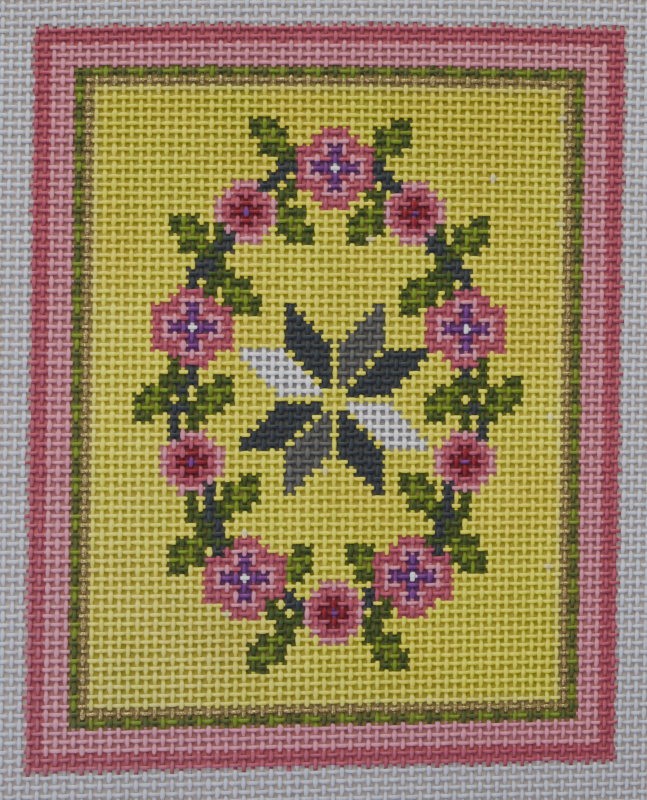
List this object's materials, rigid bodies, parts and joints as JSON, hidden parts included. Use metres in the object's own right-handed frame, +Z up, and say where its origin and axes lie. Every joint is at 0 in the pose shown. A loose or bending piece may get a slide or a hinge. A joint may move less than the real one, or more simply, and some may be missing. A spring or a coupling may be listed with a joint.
{
  "type": "painted needlepoint canvas panel",
  "caption": "Flat rectangular panel of stiff open-weave cotton needlepoint canvas with a painted border, a painted centre and plain margins with raw cut edges.",
  "frame": {"origin": "middle of the panel's outline, on the surface that it lies on, which is also the middle of the painted picture to within a millimetre", "axes": "+X to the right across the picture, along the weft threads; +Y to the top of the picture, along the warp threads; +Z up, out of the painted side"},
  "size_m": [0.2068, 0.2382, 0.0036],
  "materials": {
    "canvas": "stiffened cotton canvas threads with matte hand-laid acrylic paint"
  },
  "bodies": {
    "root": {"canvas": "canvas"}
  },
  "joints": []
}
